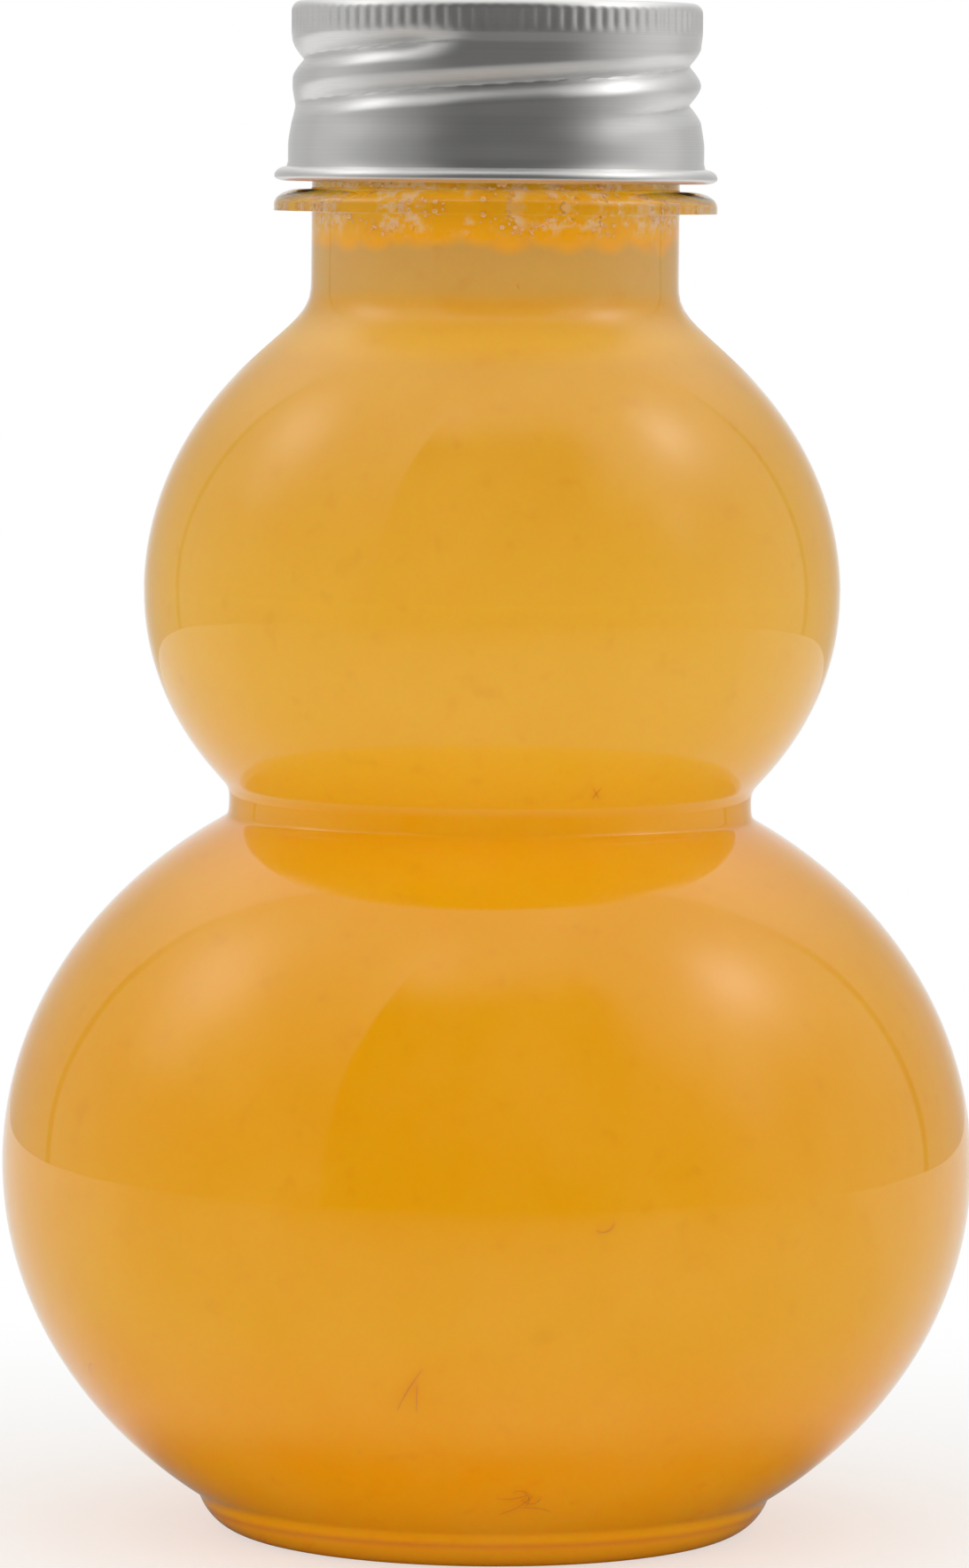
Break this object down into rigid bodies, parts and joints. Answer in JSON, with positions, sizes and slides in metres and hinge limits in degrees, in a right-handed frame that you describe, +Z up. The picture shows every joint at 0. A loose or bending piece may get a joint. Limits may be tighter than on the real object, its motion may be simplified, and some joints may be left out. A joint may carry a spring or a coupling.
{
  "type": "gourd bottle",
  "caption": "Clear moulded drink bottle shaped like a gourd, an upper bulb on a larger lower bulb, with a support ring, a foot and a knurled aluminium screw cap.",
  "frame": {"origin": "middle of the base, on the surface that the bottle stands on", "axes": "+Z up along the bottle's and the cap's common axis; the pictured front faces -Y, and +X is to its right"},
  "size_m": [0.0928, 0.0928, 0.146],
  "materials": {
    "clear_plastic": "clear, polished, with the slight waviness of blow moulding",
    "drink": "cloudy amber-orange liquid, lighter towards the edges",
    "cap_metal": "satin, rolled, unpainted",
    "liner": "fine white foam"
  },
  "bodies": {
    "container": {"bottle": "clear_plastic", "drink": "drink"},
    "liner": {"cap_liner": "liner"},
    "cap": {"cap_shell": "cap_metal"}
  },
  "joints": [
    {"name": "cap_lift", "type": "slide", "parent": "container", "child": "liner", "axis": [0, 0, 1], "range_m": [0, 0.0201]},
    {"name": "cap_turn", "type": "hinge", "parent": "liner", "child": "cap", "pos_m": [0, 0, 0.12824], "axis": [0, 0, 1], "range_deg": [0, 900]}
  ],
  "couplings": [
    {"joint": "cap_lift", "follows": "cap_turn", "m_per_rad": 0.0012732}
  ]
}
